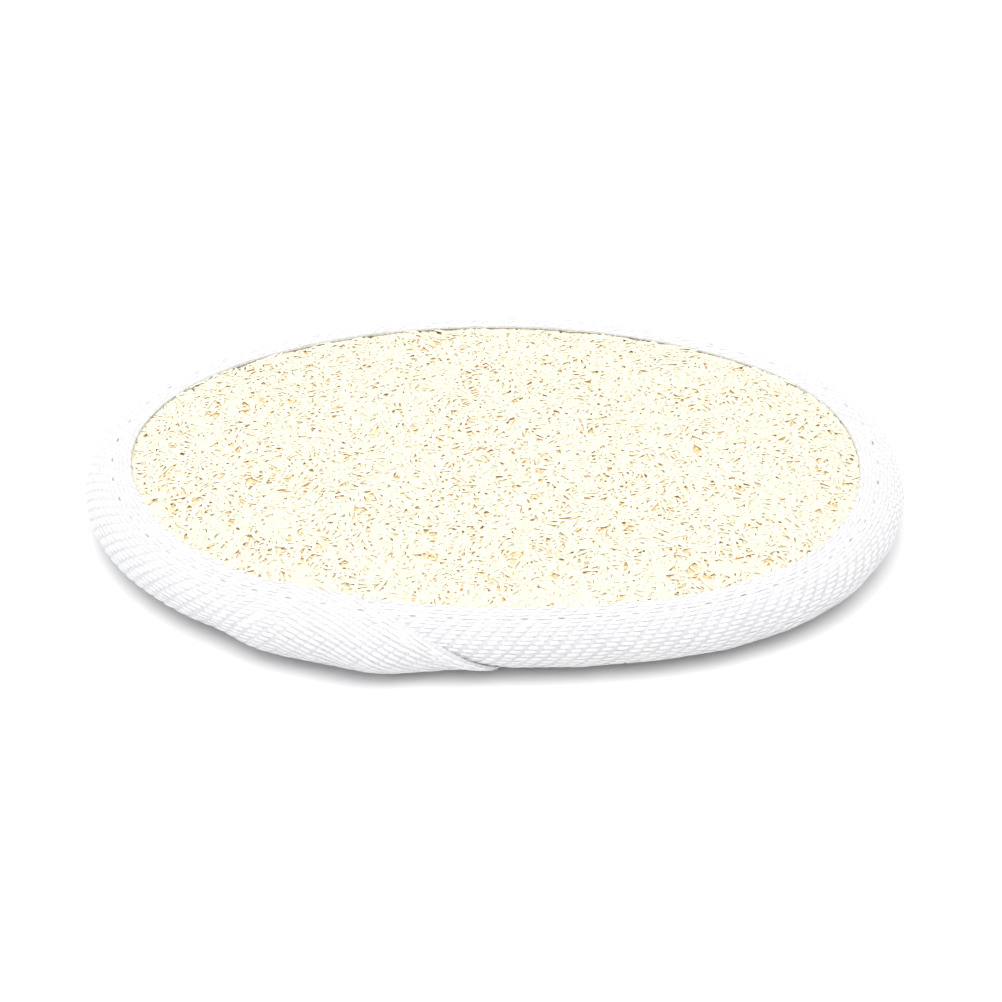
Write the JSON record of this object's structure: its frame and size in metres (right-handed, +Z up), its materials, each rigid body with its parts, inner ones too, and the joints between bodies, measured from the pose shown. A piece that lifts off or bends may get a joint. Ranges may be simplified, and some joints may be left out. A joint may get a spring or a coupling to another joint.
{
  "type": "natural loofah bath pad",
  "caption": "Oval exfoliating bath pad: a flat pressed mat of natural loofah fibre backed with terry cloth, its edge bound with lapped white cotton twill tape.",
  "frame": {"origin": "on the surface the pad lies on, under the middle of its outline", "axes": "+X along the pad's length, +Y towards its back, +Z up out of the loofah face; the tape's ends lap at the front, on -Y"},
  "size_m": [0.1484, 0.1118, 0.0133],
  "materials": {
    "loofah_fibre": "dry pale cream plant fibre, matt with a faint sheen",
    "terry_cotton": "unbleached white looped pile",
    "cotton_tape": "white cotton twill weave, matt",
    "sewing_thread": "white spun cotton thread"
  },
  "bodies": {
    "root": {"loofah_pad": "loofah_fibre", "terry_backing": "terry_cotton", "binding_tape": "cotton_tape", "needle_thread": "sewing_thread", "bobbin_thread": "sewing_thread"}
  },
  "joints": []
}
